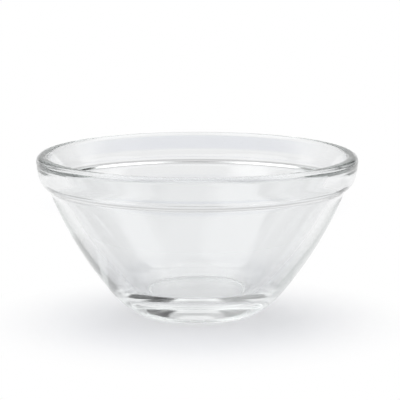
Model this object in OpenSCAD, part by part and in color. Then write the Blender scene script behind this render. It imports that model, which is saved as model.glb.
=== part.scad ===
// Clear glass prep bowl that stacks: one pressed piece, turned about Z, standing on its foot at z = 0.
// Lengths are in millimetres and angles in degrees. The section lies in a plane of radius and height,
// and a heading there is the angle of travel from the outward direction towards up.

/* [Bowl] */
// Outside diameter at the rim
rim_d = 105; // [70:0.5:160]
// Height from the table to the top of the rim
height = 52.5; // [40:0.5:80]
// Outside diameter of the flat ring that the bowl stands on
foot_d = 36.6; // [26:0.2:52]

/* [Lip and collar] */
// Radius of the lip's outer side
lip_outer_r = 2; // [1.6:0.1:2.6]
// Width of the flat on top of the lip
lip_flat_w = 0.7; // [0.3:0.1:1.5]
// Radius of the lip's inner side
lip_inner_r = 1.2; // [0.8:0.1:2]
// Slope of the collar's outer face from the vertical, which lets the bowl leave its mould
collar_draft = 6.5; // [3:0.5:10]
// Straight stretch of the collar's outer face below the lip
collar_straight = 3.2; // [1:0.1:3.5]
// Height of the collar from the top of the rim to the root of its shoulder
collar_h = 11; // [9.5:0.1:13]
// How far the root of the shoulder lies in from the rim
shoulder_step = 4; // [3.4:0.1:4.8]
// Slope of the shoulder from the vertical where it meets the wall
shoulder_lean = 58; // [45:1:75]
// Radius of the fillet at the root of the shoulder
root_r = 2.5; // [1:0.1:3]

/* [Wall and base] */
// Slope of the outer wall from the vertical at its top
wall_lean = 22; // [16:0.5:28]
// Slope of the plain inner face from the vertical below the lip
inner_lean = 17.5; // [14:0.5:20]
// Slope of the heel from the vertical where it meets the foot
heel_lean = 63; // [55:1:72]
// Radius of the edge between the heel and the foot
foot_edge_r = 2; // [1:0.1:4]
// Height of the floor inside above the table
floor_h = 8.1; // [6:0.1:10]
// Diameter of the flat floor inside the bowl
floor_d = 32.6; // [28:0.2:36]
// Width of the flat ring that the bowl stands on
foot_ring_w = 1.2; // [0.8:0.1:3]
// Depth of the hollow inside the foot ring
recess_h = 0.5; // [0.3:0.1:1.2]
// Width of the slope at the edge of that hollow
recess_slope_w = 1.6; // [1:0.1:4]

/* [Hidden] */
glass_colour = [0.85, 0.9, 0.88, 0.45];
// Steps in each arc of the section, and around the bowl
arc_steps = 10;
turn_steps = 180;
// Length of the wall's long arc beside its heel, and of the inner face's beside its cove
wall_to_heel_share = 3.4;
wall_to_cove_share = 4.1;

rim_r = rim_d / 2;
foot_r = foot_d / 2;
recess_r = foot_r - foot_ring_w;
up = 90;
inward = 180;
collar_up = up - collar_draft;
shoulder_up = up - shoulder_lean;
wall_up = up - wall_lean;
heel_up = up - heel_lean;
inner_down = up - inner_lean + inward;

// Unit vector along a heading
function along(heading) = [cos(heading), sin(heading)];

// Angle from a heading to a vector
function turn_to(heading, v) = atan2(cross(along(heading), v), along(heading) * v);

// Points after p on the arc that leaves p along a heading and ends at q
function arc_to(p, heading, q) =
    let (turn = turn_to(heading, q - p))
    [for (i = [1:arc_steps])
        let (part = i / arc_steps)
        let (chord = turn == 0 ? part : sin(turn * part) / sin(turn))
        i == arc_steps ? q : p + along(heading + turn * part) * norm(q - p) * chord];

// Points after p on two arcs that leave p along one heading, join smoothly and reach q along another.
// share is the first arc's part of the way beside the second's.
function bend(p, leave, q, reach, share) =
    let (v = q - p)
    let (a = along(leave))
    let (b = along(reach))
    let (square = 2 * share * (1 - a * b))
    let (line = 2 * v * (share * a + b))
    let (way = 2 * (v * v) / (sqrt(line * line + 4 * square * (v * v)) + line))
    let (join = (p + share * way * a + share * (q - way * b)) / (1 + share))
    concat(arc_to(p, leave, join), arc_to(join, leave + 2 * turn_to(leave, join - p), q));

// Foot: the flat ring's edge rolls up into the heel
foot_edge = [foot_r, 0];
heel_start = foot_edge + foot_edge_r * [sin(heel_up), 1 - cos(heel_up)];

// Shoulder: its root is where the collar steps in to the wall
root = [rim_r - shoulder_step, height - collar_h];
root_reach = root_r * tan((shoulder_lean - wall_lean) / 2);
wall_top = root - root_reach * along(wall_up);
shoulder_start = root + root_reach * along(shoulder_up);

// Lip: a wide outer round, a narrow flat on top and a tight inner round
widest = [rim_r, height - lip_outer_r];
flat_outer = [rim_r - lip_outer_r, height];
flat_inner = flat_outer - [lip_flat_w, 0];
lip_outside = flat_outer - [0, lip_outer_r] + lip_outer_r * along(-collar_draft);
lip_inside = flat_inner - [0, lip_inner_r] + lip_inner_r * along(inward - inner_lean);
collar_low = lip_outside - collar_straight * along(collar_up);

// Floor and the hollow under the foot
floor_edge = [floor_d / 2, floor_h];
recess_top = [recess_r - recess_slope_w, recess_h];
recess_edge = [recess_r, 0];

outside = concat(
    [foot_edge],
    arc_to(foot_edge, 0, heel_start),
    bend(heel_start, heel_up, wall_top, wall_up, 1 / wall_to_heel_share),
    arc_to(wall_top, wall_up, shoulder_start),
    bend(shoulder_start, shoulder_up, collar_low, collar_up, 1),
    [lip_outside],
    arc_to(lip_outside, collar_up, widest),
    arc_to(widest, up, flat_outer)
);
inside = concat(
    [flat_inner],
    arc_to(flat_inner, inward, lip_inside),
    bend(lip_inside, inner_down, floor_edge, inward, wall_to_cove_share),
    [[0, floor_h]]
);
underside = concat(
    [[0, recess_h], recess_top],
    bend(recess_top, 0, recess_edge, 0, 1)
);

module glass_bowl() {
    color(glass_colour)
        rotate_extrude($fn = turn_steps)
            polygon(concat(underside, outside, inside));
}

glass_bowl();
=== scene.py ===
"""A clear pressed-glass prep bowl on a pale studio floor, turned from its section."""
import math

import bpy
from bpy.props import FloatProperty, FloatVectorProperty, IntProperty, PointerProperty
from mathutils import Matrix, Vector


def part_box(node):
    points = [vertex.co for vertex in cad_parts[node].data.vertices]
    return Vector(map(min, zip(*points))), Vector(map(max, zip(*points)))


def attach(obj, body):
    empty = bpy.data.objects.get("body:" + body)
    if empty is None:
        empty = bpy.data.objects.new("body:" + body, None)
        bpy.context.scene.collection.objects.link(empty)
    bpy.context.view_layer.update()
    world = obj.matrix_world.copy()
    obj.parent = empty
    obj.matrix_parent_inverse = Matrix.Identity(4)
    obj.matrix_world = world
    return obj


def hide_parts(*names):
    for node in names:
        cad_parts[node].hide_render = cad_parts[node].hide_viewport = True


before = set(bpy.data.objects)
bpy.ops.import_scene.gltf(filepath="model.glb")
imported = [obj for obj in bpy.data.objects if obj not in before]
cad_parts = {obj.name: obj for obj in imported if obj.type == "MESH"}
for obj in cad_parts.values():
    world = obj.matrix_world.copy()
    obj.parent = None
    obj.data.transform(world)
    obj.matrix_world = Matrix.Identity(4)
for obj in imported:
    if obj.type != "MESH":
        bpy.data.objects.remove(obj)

bl_info = {
    "name": "Glass prep bowl",
    "version": (1, 0, 0),
    "blender": (4, 5, 0),
    "location": "View3D > Sidebar > Prep bowl",
    "description": "Builds a stacking prep bowl of clear pressed glass and the stage it stands on",
    "category": "Add Mesh",
}

CAD_NODE = "glass_bowl"
CAD_LOW, CAD_HIGH = (list(corner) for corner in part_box(CAD_NODE))
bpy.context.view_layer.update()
MM = 0.001

# The CAD rim has flat sides, so its box is not quite even. The glass keeps inside its shortest reach.
RIM_CLEARANCE = 0.002 * MM
CAD_REACH = min(abs(edge) for edge in (*CAD_LOW[:2], *CAD_HIGH[:2])) - RIM_CLEARANCE

# Headings in the section, from outward towards up
OUTWARD = 0
UP = math.pi / 2
INWARD = math.pi
# Full turn round the bowl
TURN = 2 * math.pi

# The long inner face has this many times an arc's steps, and a short stretch as many times fewer.
STEP_FACTOR = 3
FEWEST_STEPS = 2
# Turn below which an arc counts as straight
STRAIGHT_TURN = 1e-9
# Ratio of two arcs that take equal parts of the way
EVEN_ARCS = 1
MERGE_DISTANCE = 0.002 * MM

NOISE_MIDDLE = 0.5
# Finer levels in each noise
SWELL_DETAIL = 0
GRAIN_DETAIL = 1
HAZE_DETAIL = 3
SCRATCH_DETAIL = 4
FULL_WHITE = 1.0
# Width of the camera's frame in millimetres
SENSOR_WIDTH = 36


def length(name, description, default):
    """A length property in metres."""
    return FloatProperty(
        name=name, description=description, default=default, unit="LENGTH", precision=5)


def angle(name, description, degrees):
    """An angle property, given in degrees."""
    return FloatProperty(
        name=name, description=description, default=math.radians(degrees), subtype="ANGLE")


def number(name, description, default):
    """A plain number property, such as a share, a ratio or a level of light."""
    return FloatProperty(name=name, description=description, default=default)


def colour(name, description, default):
    """A linear colour property."""
    return FloatVectorProperty(
        name=name, description=description, default=default, size=3, subtype="COLOR")


class BowlSizes(bpy.types.PropertyGroup):
    """Sizes of the bowl's section, from the foot round the lip to the floor inside."""
    rim_r: length("Rim radius", "Outside radius at the rim", CAD_REACH)
    height: length("Height", "From the table to the top of the rim", CAD_HIGH[2])
    foot_r: length("Foot radius", "Outside radius of the flat foot ring", 18.3 * MM)
    lip_outer_r: length("Lip outside", "Radius of the lip's outer side", 2 * MM)
    lip_flat_w: length("Lip flat", "Width of the flat on top of the lip", 0.7 * MM)
    lip_inner_r: length("Lip inside", "Radius of the lip's inner side", 1.2 * MM)
    collar_draft: angle("Collar draft", "Slope of the collar's outer face from the vertical", 6.5)
    collar_straight: length(
        "Collar straight", "Straight stretch of the collar below the lip", 3.2 * MM)
    collar_h: length("Collar height", "From the rim's top to the root of the shoulder", 11 * MM)
    shoulder_step: length(
        "Shoulder step", "How far the shoulder's root lies in from the rim", 4 * MM)
    shoulder_lean: angle(
        "Shoulder lean", "Slope of the shoulder from the vertical where it meets the wall", 58)
    root_r: length("Root fillet", "Radius of the fillet at the shoulder's root", 2.5 * MM)
    wall_lean: angle("Wall lean", "Slope of the wall from the vertical at its top", 22)
    inner_lean: angle(
        "Inner lean", "Slope of the inner face from the vertical below the lip", 17.5)
    wall_to_heel_share: number(
        "Wall to heel", "Length of the wall's long arc beside its heel", 3.4)
    wall_to_cove_share: number(
        "Wall to cove", "Length of the inner face's long arc beside its cove", 4.1)
    heel_lean: angle(
        "Heel lean", "Slope of the heel from the vertical where it meets the foot", 63)
    foot_edge_r: length("Foot edge", "Radius between the heel and the foot", 2 * MM)
    floor_h: length("Floor height", "Height of the floor inside above the table", 8.1 * MM)
    floor_r: length("Floor radius", "Radius of the flat floor inside", 16.3 * MM)
    foot_ring_w: length("Foot ring", "Width of the flat foot ring", 1.2 * MM)
    recess_h: length("Hollow", "Depth of the hollow inside the foot ring", 0.5 * MM)
    recess_slope_w: length("Hollow edge", "Width of the slope at the hollow's edge", 1.6 * MM)
    arc_steps: IntProperty(
        name="Arc steps", description="Steps in each arc of the section", default=13, min=2)
    segments: IntProperty(
        name="Segments", description="Steps round the bowl", default=360, min=12)
    ripple_h: length("Ripple height", "Greatest swell of the pressed wall", 0.02 * MM)
    ripple_size: length("Ripple size", "Width of one swell of the pressed wall", 20 * MM)
    ripple_seed: number("Ripple seed", "Picks one pattern of swells", 3.0)


class GlassLook(bpy.types.PropertyGroup):
    """Look of the clear glass."""
    tint: colour("Surface tint", "Colour of light through the surface", (0.905, 0.911, 0.915))
    depth_tint: colour("Depth tint", "Colour that thick glass leans to", (0.2, 0.42, 0.35))
    depth_density: number("Depth density", "Absorption per metre", 1.0)
    ior: number("Refraction", "Refractive index of soda-lime glass", 1.52)
    grain_h: length(
        "Grain height", "Depth of the fine unevenness that the mould leaves", 0.0015 * MM)
    grain_size: length("Grain size", "Width of that unevenness", 3 * MM)
    haze: number(
        "Haze", "Greatest roughness of the clean wall, where hands leave a faint haze", 0.02)
    haze_size: length("Haze size", "Width of one hazy patch", 18 * MM)
    rubbed: number(
        "Rubbed foot", "Roughness of the foot ring, rubbed dull by tables and other bowls", 0.3)
    rubbed_h: length("Rubbed height", "Height up to which the foot is rubbed", 0.25 * MM)
    scratch_size: length("Scratch size", "Width of the marks in the rubbed foot", 0.6 * MM)


class StageLook(bpy.types.PropertyGroup):
    """Floor, studio and camera."""
    floor_colour: colour("Floor", "Colour of the pale floor", (0.92, 0.935, 0.985))
    floor_half: length("Floor half width", "Half the width of the floor", 4.0)
    floor_gap: length("Floor gap", "Gap that keeps the floor clear of the foot", 0.05 * MM)
    # Painted pool of light on the floor behind the foot: there the floor shows full white over the
    # bowl's shadow.
    painted_light_white: number(
        "Spot white", "Part of white on the floor where the clear foot gathers light", 1.0)
    painted_light_back: length(
        "Spot back", "How far the middle of that light lies behind the bowl's", 22 * MM)
    painted_light_from: length(
        "Spot from", "Distance from that middle at which the light starts to fade", 20 * MM)
    painted_light_to: length("Spot to", "Distance from that middle at which it has faded", 50 * MM)
    painted_light_slim: number(
        "Spot slimness", "Length of that light from front to back beside its width", 2.0)
    # The shade round the bowl is partly painted: its place, size and the white it keeps are set here,
    # and within it the bowl's own shadow shows.
    shade_front: length(
        "Shade forward", "How far the middle of the shaded floor lies in front of the bowl's", 16 * MM)
    shade_white: number(
        "Shade white", "Part of white that the floor keeps in the middle of its shade", 0.45)
    shade_slim: number(
        "Shade slimness", "Length of the shade from front to back beside its width", 1.13)
    white_from: length(
        "White from", "Distance from that middle at which the floor starts to turn white", 26 * MM)
    white_to: length(
        "White to", "Distance from that middle at which the floor is white", 86 * MM)
    # Painted shade on the floor behind the bowl, where the bowl casts no shadow: the floor keeps less
    # white there.
    painted_rear_shade_white: number(
        "Rear white", "Part of white that the floor keeps in the faint shade behind the bowl", 0.28)
    painted_rear_shade_back: length(
        "Rear back", "How far the middle of that shade lies behind the bowl's", 217 * MM)
    painted_rear_shade_from: length(
        "Rear from", "Distance from that middle at which the floor starts to turn white", 22 * MM)
    painted_rear_shade_to: length("Rear to", "Distance from that middle at which the floor is white", 66 * MM)
    # Painted shade on the far floor: beyond about a metre the floor keeps less white, as a darker
    # band.
    painted_far_shade_white: number(
        "Far white", "Part of white that the far floor keeps, out of the camera's sight", 0.55)
    painted_far_shade_from: length(
        "Far from", "Distance at which the floor starts to fall into the far shade", 1.0)
    painted_far_shade_to: length("Far to", "Distance at which the floor lies in the far shade", 1.15)
    back_level: number("Back level", "Light from the backdrop", 1.0)
    band_level: number(
        "Band level", "Light from the band low on the backdrop, between floor and cloth", 0.68)
    band_low: angle(
        "Band low", "Height of the band's lower edge above the floor, as an angle", 6.5)
    band_high: angle(
        "Band high", "Height of the band's upper edge above the floor, as an angle", 16)
    band_soft: angle("Band softness", "Half the angle over which the band's edges fade", 1.5)
    over_level: number("Over level", "Light from the two top softboxes", 1.9)
    over_turn: angle("Over turn", "Turn of each top softbox from the backdrop", 45)
    over_rise: angle("Over rise", "Height of each top softbox above the floor, as an angle", 60)
    over_half: angle("Over half width", "Half the angle that each top softbox covers", 13)
    gap_level: number(
        "Gap level", "Light from the gap overhead, between the two top softboxes", 0.45)
    gap_half: angle("Gap half width", "Half the angle that the gap covers", 11)
    front_level: number("Front level", "Light from the screen on the camera's side", 0.1)
    front_turn: angle("Front turn", "Turn of the screen's middle from the backdrop", 180)
    front_half: angle("Front half width", "Half the angle that the screen covers", 95)
    front_low: angle(
        "Front low", "Height of the screen's lower edge above the floor, as an angle", 20)
    front_high: angle(
        "Front high", "Height of the screen's upper edge above the floor, as an angle", 47)
    side_level: number("Side level", "Light from the two side softboxes", 1.6)
    left_turn: angle("Left turn", "Turn of the left softbox from the backdrop", 120)
    left_rise: angle("Left rise", "Height of the left softbox above the floor, as an angle", 57)
    left_half: angle("Left half width", "Half the angle that the left softbox covers", 26)
    right_turn: angle("Right turn", "Turn of the right softbox from the backdrop", 94)
    right_rise: angle("Right rise", "Height of the right softbox above the floor, as an angle", 45)
    right_half: angle("Right half width", "Half the angle that the right softbox covers", 17)
    left_flag_level: number("Left flag level", "Light from the dark flag at the left", 0.4)
    right_flag_level: number("Right flag level", "Light from the dark flag at the right", 0.02)
    flag_turn: angle("Flag turn", "Turn of each flag from the backdrop", 42)
    flag_rise: angle("Flag rise", "Height of each flag above the floor, as an angle", 23)
    flag_half: angle("Flag half width", "Half the angle that each flag covers", 25)
    low_flag_level: number(
        "Low flag level", "Light from the low flag at the right, beside the camera", 0.4)
    low_flag_turn: angle("Low flag turn", "Turn of that flag from the backdrop", 122)
    low_flag_rise: angle("Low flag rise", "Height of that flag above the floor, as an angle", 4)
    low_flag_half: angle("Low flag half width", "Half the angle that the low flag covers", 24)
    soft: angle("Softness", "Half the angle over which the edge of a panel fades", 3)
    bounces: IntProperty(
        name="Bounces", description="Turns that light may take inside the glass", default=48)
    camera_distance: length("Camera distance", "From the rim's centre to the camera", 1.1)
    camera_elevation: angle(
        "Camera elevation", "Height of the camera above the rim, as an angle", 8.56)
    camera_aim_x: length("Aim right", "Point that the camera looks at, to the right", 0.91 * MM)
    camera_aim_z: length("Aim up", "Point that the camera looks at, above the floor", 37.3 * MM)
    camera_lens: FloatProperty(
        name="Lens", description="Focal length on a 36 mm frame", default=303.8, unit="CAMERA")


def along(heading):
    """Unit vector along a heading in the section."""
    return Vector((math.cos(heading), math.sin(heading)))


def turn_to(heading, v):
    """Angle from a heading to a vector."""
    a = along(heading)
    return math.atan2(a.x * v.y - a.y * v.x, a.dot(v))


def arc_to(p, heading, q, steps):
    """Points after p on the arc that leaves p along a heading and ends at q."""
    turn = turn_to(heading, q - p)
    reach = (q - p).length
    points = []
    for i in range(1, steps):
        part = i / steps
        straight = abs(turn) < STRAIGHT_TURN
        chord = part if straight else math.sin(turn * part) / math.sin(turn)
        points.append(p + along(heading + turn * part) * reach * chord)
    return points + [q]


def bend(p, leave, q, reach, ratio, steps):
    """Points after p on two arcs that join smoothly, leave p on one heading and reach q on another.

    The ratio is the first arc's part of the way beside the second's.
    """
    v, a, b = q - p, along(leave), along(reach)
    square = 2 * ratio * (1 - a.dot(b))
    line = 2 * v.dot(ratio * a + b)
    way = 2 * v.dot(v) / (math.sqrt(line * line + 4 * square * v.dot(v)) + line)
    join = (p + ratio * way * a + ratio * (q - way * b)) / (1 + ratio)
    heading = leave + 2 * turn_to(leave, join - p)
    return arc_to(p, leave, join, steps) + arc_to(join, heading, q, steps)


def straight_to(p, q, steps):
    """Points after p on the line to q."""
    return [p.lerp(q, i / steps) for i in range(1, steps + 1)]


def section_points(s):
    """The section as points of radius and height, from the hollow's middle round to the floor's."""
    collar_up, inner_up, wall_up = UP - s.collar_draft, UP - s.inner_lean, UP - s.wall_lean
    shoulder_up, heel_up = UP - s.shoulder_lean, UP - s.heel_lean

    recess_r = s.foot_r - s.foot_ring_w
    recess_top = Vector((recess_r - s.recess_slope_w, s.recess_h))
    recess_edge = Vector((recess_r, 0))
    foot_edge = Vector((s.foot_r, 0))
    heel_start = foot_edge + s.foot_edge_r * Vector((math.sin(heel_up), 1 - math.cos(heel_up)))

    root = Vector((s.rim_r - s.shoulder_step, s.height - s.collar_h))
    root_reach = s.root_r * math.tan((s.shoulder_lean - s.wall_lean) / 2)
    wall_top = root - root_reach * along(wall_up)
    shoulder_start = root + root_reach * along(shoulder_up)

    widest = Vector((s.rim_r, s.height - s.lip_outer_r))
    flat_outer = Vector((s.rim_r - s.lip_outer_r, s.height))
    flat_inner = flat_outer - Vector((s.lip_flat_w, 0))
    outer_centre = flat_outer - Vector((0, s.lip_outer_r))
    inner_centre = flat_inner - Vector((0, s.lip_inner_r))
    lip_outside = outer_centre + s.lip_outer_r * along(-s.collar_draft)
    lip_inside = inner_centre + s.lip_inner_r * along(INWARD - s.inner_lean)
    collar_low = lip_outside - s.collar_straight * along(collar_up)

    floor_edge = Vector((s.floor_r, s.floor_h))
    floor_middle = Vector((0, s.floor_h))
    recess_middle = Vector((0, s.recess_h))

    n = s.arc_steps
    few = max(FEWEST_STEPS, n // STEP_FACTOR)
    many = STEP_FACTOR * n
    underside = [recess_middle]
    underside += straight_to(recess_middle, recess_top, few)
    underside += bend(recess_top, OUTWARD, recess_edge, OUTWARD, EVEN_ARCS, few)
    outside = straight_to(recess_edge, foot_edge, few)
    outside += arc_to(foot_edge, OUTWARD, heel_start, few)
    outside += bend(heel_start, heel_up, wall_top, wall_up, 1 / s.wall_to_heel_share, n)
    outside += arc_to(wall_top, wall_up, shoulder_start, few)
    outside += bend(shoulder_start, shoulder_up, collar_low, collar_up, EVEN_ARCS, n)
    outside += straight_to(collar_low, lip_outside, few)
    outside += arc_to(lip_outside, collar_up, widest, few)
    outside += arc_to(widest, UP, flat_outer, n)
    inside = straight_to(flat_outer, flat_inner, few)
    inside += arc_to(flat_inner, INWARD, lip_inside, n)
    inside += bend(
        lip_inside, inner_up + INWARD, floor_edge, INWARD, s.wall_to_cove_share, many)
    inside += straight_to(floor_edge, floor_middle, few)
    return underside + outside + inside


def add_node(tree, kind, **settings):
    """A new node with its settings."""
    node = tree.nodes.new(kind)
    for key, value in settings.items():
        setattr(node, key, value)
    return node


def feed(tree, socket, value):
    """Gives an input a value, which is another socket or a number."""
    if isinstance(value, bpy.types.NodeSocket):
        tree.links.new(value, socket)
    else:
        socket.default_value = value


def math_node(tree, operation, *operands):
    """Socket with a math node's result; each operand is a socket or a number."""
    node = add_node(tree, "ShaderNodeMath", operation=operation)
    for socket, operand in zip(node.inputs, operands):
        feed(tree, socket, operand)
    return node.outputs[0]


def axes_of(tree, vector):
    """Sockets with a vector's X, Y and Z, by name."""
    apart = add_node(tree, "ShaderNodeSeparateXYZ")
    tree.links.new(vector, apart.inputs[0])
    return apart.outputs


def smooth_rise(tree, where, low, high, top=1):
    """Socket that rises smoothly from 0 to a top as another goes from low to high."""
    rise = add_node(tree, "ShaderNodeMapRange", interpolation_type="SMOOTHSTEP")
    for name, value in (("Value", where), ("From Min", low), ("From Max", high), ("To Max", top)):
        feed(tree, rise.inputs[name], value)
    return rise.outputs["Result"]


def blend_level(tree, level, new_level, where, low, high):
    """Socket that goes from a level to a new one as a third socket goes from low to high."""
    mix = add_node(tree, "ShaderNodeMix", data_type="FLOAT")
    feed(tree, mix.inputs["Factor"], smooth_rise(tree, where, low, high))
    feed(tree, mix.inputs["A"], level)
    feed(tree, mix.inputs["B"], new_level)
    return mix.outputs["Result"]


def noise_on(tree, where, size, detail):
    """Socket with noise whose patches have a size, with finer levels of detail in them."""
    noise = add_node(tree, "ShaderNodeTexNoise")
    noise.inputs["Scale"].default_value = 1 / size
    noise.inputs["Detail"].default_value = detail
    tree.links.new(where, noise.inputs["Vector"])
    return noise.outputs[0]


def turn_section(tree, start):
    """Socket with the section's points turned about Z and closed into a body."""
    link = tree.links.new
    section, segments = start.outputs["Section"], start.outputs["Segments"]
    count = add_node(tree, "GeometryNodeAttributeDomainSize", component="MESH")
    link(section, count.inputs[0])
    rings = count.outputs["Point Count"]
    grid = add_node(tree, "GeometryNodeMeshGrid")
    link(math_node(tree, "ADD", segments, 1), grid.inputs["Vertices X"])
    link(rings, grid.inputs["Vertices Y"])

    index = add_node(tree, "GeometryNodeInputIndex").outputs[0]
    step = math_node(tree, "FLOOR", math_node(tree, "DIVIDE", index, rings))
    ring = math_node(tree, "SUBTRACT", index, math_node(tree, "MULTIPLY", step, rings))
    sample = add_node(
        tree, "GeometryNodeSampleIndex", data_type="FLOAT_VECTOR", domain="POINT")
    link(section, sample.inputs["Geometry"])
    link(add_node(tree, "GeometryNodeInputPosition").outputs[0], sample.inputs["Value"])
    link(ring, sample.inputs["Index"])
    on_section = axes_of(tree, sample.outputs[0])

    around = math_node(tree, "MULTIPLY", math_node(tree, "DIVIDE", step, segments), TURN)
    turned = add_node(tree, "ShaderNodeCombineXYZ")
    for axis, wave in (("X", "COSINE"), ("Y", "SINE")):
        part = math_node(tree, wave, around)
        link(math_node(tree, "MULTIPLY", on_section["X"], part), turned.inputs[axis])
    link(on_section["Z"], turned.inputs["Z"])
    lay = add_node(tree, "GeometryNodeSetPosition")
    link(grid.outputs["Mesh"], lay.inputs["Geometry"])
    link(turned.outputs[0], lay.inputs["Position"])
    close = add_node(tree, "GeometryNodeMergeByDistance")
    close.inputs["Distance"].default_value = MERGE_DISTANCE
    link(lay.outputs[0], close.inputs["Geometry"])
    return close.outputs[0]


def ripple_wall(tree, start, body):
    """Socket with the faint swells of the pressed wall, which fade towards the foot and the rim."""
    link = tree.links.new
    size = start.outputs["Ripple size"]
    place = add_node(tree, "GeometryNodeInputPosition").outputs[0]
    swell = add_node(tree, "ShaderNodeTexNoise", noise_dimensions="4D")
    swell.inputs["Detail"].default_value = SWELL_DETAIL
    link(place, swell.inputs["Vector"])
    link(start.outputs["Ripple seed"], swell.inputs["W"])
    link(math_node(tree, "DIVIDE", 1, size), swell.inputs["Scale"])

    height = axes_of(tree, place)["Z"]
    below_rim = math_node(tree, "SUBTRACT", start.outputs["Height"], height)
    from_end = math_node(tree, "MINIMUM", height, below_rim)
    rise = math_node(tree, "SUBTRACT", swell.outputs[0], NOISE_MIDDLE)
    rise = math_node(tree, "MULTIPLY", rise, start.outputs["Ripple height"])
    rise = math_node(tree, "DIVIDE", rise, NOISE_MIDDLE)
    rise = math_node(tree, "MULTIPLY", rise, smooth_rise(tree, from_end, 0, size))
    outward = add_node(tree, "ShaderNodeVectorMath", operation="SCALE")
    link(add_node(tree, "GeometryNodeInputNormal").outputs[0], outward.inputs[0])
    link(rise, outward.inputs["Scale"])
    ripple = add_node(tree, "GeometryNodeSetPosition")
    link(body, ripple.inputs["Geometry"])
    link(outward.outputs[0], ripple.inputs["Offset"])
    return ripple.outputs[0]


def turned_tree(material):
    """Node tree that turns a section of points about Z into a closed glass body."""
    tree = bpy.data.node_groups.new("Turned glass", "GeometryNodeTree")
    face = tree.interface
    face.new_socket(name="Section", in_out="INPUT", socket_type="NodeSocketGeometry")
    face.new_socket(name="Segments", in_out="INPUT", socket_type="NodeSocketInt")
    for name in ("Height", "Ripple height", "Ripple size", "Ripple seed"):
        face.new_socket(name=name, in_out="INPUT", socket_type="NodeSocketFloat")
    face.new_socket(name="Glass", in_out="OUTPUT", socket_type="NodeSocketGeometry")
    start = add_node(tree, "NodeGroupInput")
    end = add_node(tree, "NodeGroupOutput")
    link = tree.links.new

    smooth = add_node(tree, "GeometryNodeSetShadeSmooth")
    link(ripple_wall(tree, start, turn_section(tree, start)), smooth.inputs["Geometry"])
    whole = add_node(tree, "GeometryNodeRealizeInstances")
    link(smooth.outputs[0], whole.inputs[0])
    coat = add_node(tree, "GeometryNodeSetMaterial")
    coat.inputs["Material"].default_value = material
    link(whole.outputs[0], coat.inputs["Geometry"])
    link(coat.outputs[0], end.inputs["Glass"])
    return tree


def set_tree_input(modifier, name, value):
    """Sets a modifier's input by the identifier of the socket with this name."""
    for item in modifier.node_group.interface.items_tree:
        if item.item_type == "SOCKET" and item.in_out == "INPUT" and item.name == name:
            modifier[item.identifier] = value
            return
    raise RuntimeError(f"no input named {name}")


def turned_mesh(context, sizes, material):
    """Plain mesh of the bowl, which the node tree makes from the section's points."""
    points = section_points(sizes)
    edges = [(i, i + 1) for i in range(len(points) - 1)]
    section = bpy.data.meshes.new("bowl_section")
    section.from_pydata([(p.x, 0, p.y) for p in points], edges, [])
    worker = bpy.data.objects.new("bowl_section", section)
    context.scene.collection.objects.link(worker)
    modifier = worker.modifiers.new("Turned glass", "NODES")
    modifier.node_group = turned_tree(material)
    inputs = {
        "Segments": sizes.segments,
        "Height": sizes.height,
        "Ripple height": sizes.ripple_h,
        "Ripple size": sizes.ripple_size,
        "Ripple seed": sizes.ripple_seed,
    }
    for name, value in inputs.items():
        set_tree_input(modifier, name, value)
    evaluated = worker.evaluated_get(context.evaluated_depsgraph_get())
    mesh = bpy.data.meshes.new_from_object(evaluated)
    bpy.data.objects.remove(worker)
    bpy.data.meshes.remove(section)
    return mesh


def glass_material(look):
    """Clear pressed glass, faintly green in thick places."""
    material = bpy.data.materials.new("clear_pressed_glass")
    material.use_nodes = True
    tree = material.node_tree
    link = tree.links.new
    shader = tree.nodes["Principled BSDF"]
    shader.inputs["Base Color"].default_value = (*look.tint, 1)
    shader.inputs["IOR"].default_value = look.ior
    shader.inputs["Transmission Weight"].default_value = 1.0

    where = add_node(tree, "ShaderNodeTexCoord").outputs["Object"]
    grain = add_node(tree, "ShaderNodeBump")
    grain.inputs["Distance"].default_value = look.grain_h
    link(noise_on(tree, where, look.grain_size, GRAIN_DETAIL), grain.inputs["Height"])
    link(grain.outputs[0], shader.inputs["Normal"])

    height = axes_of(tree, where)["Z"]
    patches = noise_on(tree, where, look.haze_size, HAZE_DETAIL)
    haze = smooth_rise(tree, patches, NOISE_MIDDLE, 1, look.haze)
    scratches = noise_on(tree, where, look.scratch_size, SCRATCH_DETAIL)
    marks = math_node(tree, "MULTIPLY", scratches, look.rubbed / NOISE_MIDDLE)
    roughness = blend_level(tree, marks, haze, height, look.rubbed_h / 2, look.rubbed_h)
    link(roughness, shader.inputs["Roughness"])

    depth = add_node(tree, "ShaderNodeVolumeAbsorption")
    depth.inputs["Color"].default_value = (*look.depth_tint, 1)
    depth.inputs["Density"].default_value = look.depth_density
    link(depth.outputs[0], tree.nodes["Material Output"].inputs["Volume"])
    return material


class PREPBOWL_OT_glass_bowl(bpy.types.Operator):
    """Turn the bowl from its section and give it its glass"""
    bl_idname = "prepbowl.glass_bowl"
    bl_label = "Glass bowl"

    def execute(self, context):
        """Makes the bowl, which stands for its CAD node."""
        scene = context.scene
        mesh = turned_mesh(context, scene.prepbowl_sizes, glass_material(scene.prepbowl_glass))
        mesh.name = "bowl_glass"
        bowl = bpy.data.objects.new("bowl_glass", mesh)
        scene.collection.objects.link(bowl)
        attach(bowl, "root")
        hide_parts(CAD_NODE)
        return {"FINISHED"}


def distance_to(tree, where, back, slim=1):
    """Socket with the distance to a floor point so far back, with width counted slim times over."""
    widen = add_node(tree, "ShaderNodeVectorMath", operation="MULTIPLY")
    tree.links.new(where, widen.inputs[0])
    widen.inputs[1].default_value = (slim, 1, 1)
    away = add_node(tree, "ShaderNodeVectorMath", operation="DISTANCE")
    tree.links.new(widen.outputs[0], away.inputs[0])
    away.inputs[1].default_value = (0, back, 0)
    return away.outputs["Value"]


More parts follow.
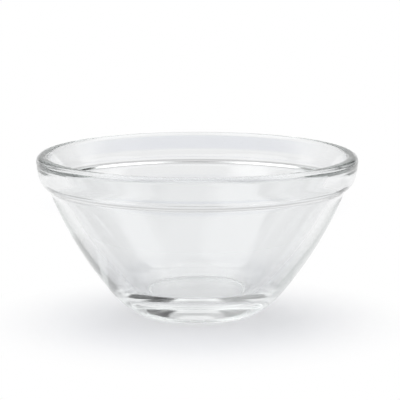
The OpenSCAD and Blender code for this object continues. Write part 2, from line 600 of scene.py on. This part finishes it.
def white_share(tree, look):
    """Socket with the part of white on the floor: lower in the partly painted shade round the bowl and
    the painted shades behind it and far away, full in the painted pool of light behind the foot.
    """
    where = add_node(tree, "ShaderNodeTexCoord").outputs["Object"]
    from_shade = distance_to(tree, where, -look.shade_front, look.shade_slim)
    from_painted_light = distance_to(tree, where, look.painted_light_back, look.painted_light_slim)
    from_painted_rear_shade = distance_to(tree, where, look.painted_rear_shade_back)
    from_bowl = distance_to(tree, where, 0)
    # Partly painted shade round the bowl, with the bowl's own shadow inside it.
    white = blend_level(
        tree, look.shade_white, FULL_WHITE, from_shade, look.white_from, look.white_to)
    # Painted pool of light behind the foot.
    white = blend_level(tree, look.painted_light_white, white, from_painted_light, look.painted_light_from, look.painted_light_to)
    # Painted shade behind the bowl.
    white = blend_level(tree, look.painted_rear_shade_white, white, from_painted_rear_shade, look.painted_rear_shade_from, look.painted_rear_shade_to)
    # Painted shade on the far floor.
    return blend_level(tree, white, look.painted_far_shade_white, from_bowl, look.painted_far_shade_from, look.painted_far_shade_to)


def floor_material(look):
    """Pale floor that keeps the bowl's shadow and shows white away from it, also in the glass; its
    part of white lays painted shade and a painted pool of light.
    """
    material = bpy.data.materials.new("pale_floor")
    material.use_nodes = True
    tree = material.node_tree
    link = tree.links.new
    shader = tree.nodes["Principled BSDF"]
    shader.inputs["Base Color"].default_value = (*look.floor_colour, 1)
    shader.inputs["Roughness"].default_value = 1.0
    shader.inputs["Specular IOR Level"].default_value = 0.0
    white = add_node(tree, "ShaderNodeEmission")

    ray = add_node(tree, "ShaderNodeLightPath")
    shown = ray.outputs["Is Camera Ray"]
    for kind in ("Is Glossy Ray", "Is Transmission Ray"):
        shown = math_node(tree, "MAXIMUM", shown, ray.outputs[kind])
    mix = add_node(tree, "ShaderNodeMixShader")
    link(math_node(tree, "MULTIPLY", white_share(tree, look), shown), mix.inputs["Fac"])
    link(shader.outputs[0], mix.inputs[1])
    link(white.outputs[0], mix.inputs[2])
    link(mix.outputs[0], tree.nodes["Material Output"].inputs["Surface"])
    return material


def add_floor(scene, look):
    """Floor just under the foot."""
    half = look.floor_half
    corners = [(-half, -half, 0), (half, -half, 0), (half, half, 0), (-half, half, 0)]
    mesh = bpy.data.meshes.new("floor")
    mesh.from_pydata(corners, [], [(0, 1, 2, 3)])
    mesh.materials.append(floor_material(look))
    floor = bpy.data.objects.new("floor", mesh)
    floor.location.z = -look.floor_gap
    scene.collection.objects.link(floor)


def towards(turn, rise):
    """Unit vector at a turn from the backdrop to the right and a rise above the floor."""
    level = math.cos(rise)
    return Vector((math.sin(turn) * level, math.cos(turn) * level, math.sin(rise)))


def facing(tree, direction, centre):
    """Socket with the cosine of the angle between the ray's direction and a fixed one."""
    dot = add_node(tree, "ShaderNodeVectorMath", operation="DOT_PRODUCT")
    tree.links.new(direction, dot.inputs[0])
    dot.inputs[1].default_value = centre
    return dot.outputs["Value"]


def light_between(tree, direction, light, new_light, low, high, soft):
    """Socket with the light after a band of new light between two heights, given as angles."""
    sine = facing(tree, direction, towards(0, UP))
    after = light
    for edge, level in ((low, new_light), (high, light)):
        after = blend_level(tree, after, level, sine, math.sin(edge - soft), math.sin(edge + soft))
    return after


def light_within(tree, direction, light, new_light, centre, half, soft):
    """Socket with the light after a round panel, which covers half an angle each way."""
    cosine = facing(tree, direction, centre)
    return blend_level(
        tree, light, new_light, cosine, math.cos(half + soft), math.cos(half - soft))


def add_panels(tree, direction, light, panels, soft):
    """Socket with the light after panels, each given by its turn, rise, half width and level."""
    for turn, rise, half, level in panels:
        light = light_within(tree, direction, light, level, towards(turn, rise), half, soft)
    return light


def studio_world(look):
    """Pale room with a dark screen on the camera's side, and softboxes and flags round the bowl."""
    world = bpy.data.worlds.new("pale_studio")
    world.use_nodes = True
    tree = world.node_tree
    direction = add_node(tree, "ShaderNodeTexCoord").outputs["Generated"]
    overhead = (
        (-look.over_turn, look.over_rise, look.over_half, look.over_level),
        (look.over_turn, look.over_rise, look.over_half, look.over_level),
        (0, UP, look.gap_half, look.gap_level),
    )
    beside = (
        (-look.left_turn, look.left_rise, look.left_half, look.side_level),
        (look.right_turn, look.right_rise, look.right_half, look.side_level),
        (-look.flag_turn, look.flag_rise, look.flag_half, look.left_flag_level),
        (look.flag_turn, look.flag_rise, look.flag_half, look.right_flag_level),
        (look.low_flag_turn, look.low_flag_rise, look.low_flag_half, look.low_flag_level),
    )
    light = light_between(
        tree, direction, look.back_level, look.band_level, look.band_low, look.band_high,
        look.band_soft)
    light = add_panels(tree, direction, light, overhead, look.soft)
    screen = light_between(
        tree, direction, light, look.front_level, look.front_low, look.front_high, look.soft)
    front = towards(look.front_turn, 0)
    light = light_within(tree, direction, light, screen, front, look.front_half, look.soft)
    light = add_panels(tree, direction, light, beside, look.soft)
    room = tree.nodes["Background"]
    room.inputs["Color"].default_value = (1, 1, 1, 1)
    tree.links.new(light, room.inputs["Strength"])
    return world


def follow_light(scene, bounces):
    """Lets light turn often enough to find its way out of thick glass."""
    scene.cycles.max_bounces = bounces
    scene.cycles.glossy_bounces = bounces
    scene.cycles.transmission_bounces = bounces


def add_camera(scene, look, height):
    """Camera at the photograph's angle."""
    data = bpy.data.cameras.new("photo_camera")
    data.lens = look.camera_lens
    data.sensor_width = SENSOR_WIDTH
    camera = bpy.data.objects.new("photo_camera", data)
    scene.collection.objects.link(camera)
    aim = Vector((look.camera_aim_x, 0, look.camera_aim_z))
    back = look.camera_distance * math.cos(look.camera_elevation)
    rise = look.camera_distance * math.sin(look.camera_elevation)
    camera.location = (look.camera_aim_x, -back, height + rise)
    camera.rotation_euler = (aim - camera.location).to_track_quat("-Z", "Y").to_euler()
    scene.camera = camera


class PREPBOWL_OT_stage(bpy.types.Operator):
    """Lay the floor, light the room and set the camera"""
    bl_idname = "prepbowl.stage"
    bl_label = "Stage"

    def execute(self, context):
        """Makes what the bowl stands on, what lights it and what sees it."""
        scene = context.scene
        look = scene.prepbowl_stage
        add_floor(scene, look)
        scene.world = studio_world(look)
        follow_light(scene, look.bounces)
        scene.view_settings.view_transform = "Standard"
        add_camera(scene, look, scene.prepbowl_sizes.height)
        return {"FINISHED"}


class PREPBOWL_PT_panel(bpy.types.Panel):
    """Lists the steps that build the bowl"""
    bl_idname = "PREPBOWL_PT_panel"
    bl_label = "Prep bowl"
    bl_space_type = "VIEW_3D"
    bl_region_type = "UI"
    bl_category = "Prep bowl"

    def draw(self, context):
        """Shows one button for each step."""
        for step in STEPS:
            self.layout.operator(step.bl_idname)


STEPS = (PREPBOWL_OT_glass_bowl, PREPBOWL_OT_stage)
GROUPS = {"prepbowl_sizes": BowlSizes, "prepbowl_glass": GlassLook, "prepbowl_stage": StageLook}
CLASSES = (*GROUPS.values(), *STEPS, PREPBOWL_PT_panel)


def register():
    """Adds the classes, and the groups of properties to the scene."""
    for cls in CLASSES:
        bpy.utils.register_class(cls)
    for name, group in GROUPS.items():
        setattr(bpy.types.Scene, name, PointerProperty(type=group))


def unregister():
    """Takes away what register adds."""
    for name in GROUPS:
        delattr(bpy.types.Scene, name)
    for cls in reversed(CLASSES):
        bpy.utils.unregister_class(cls)


def main():
    register()
    bpy.ops.prepbowl.glass_bowl()
    bpy.ops.prepbowl.stage()


if __name__ == "__main__":
    main()
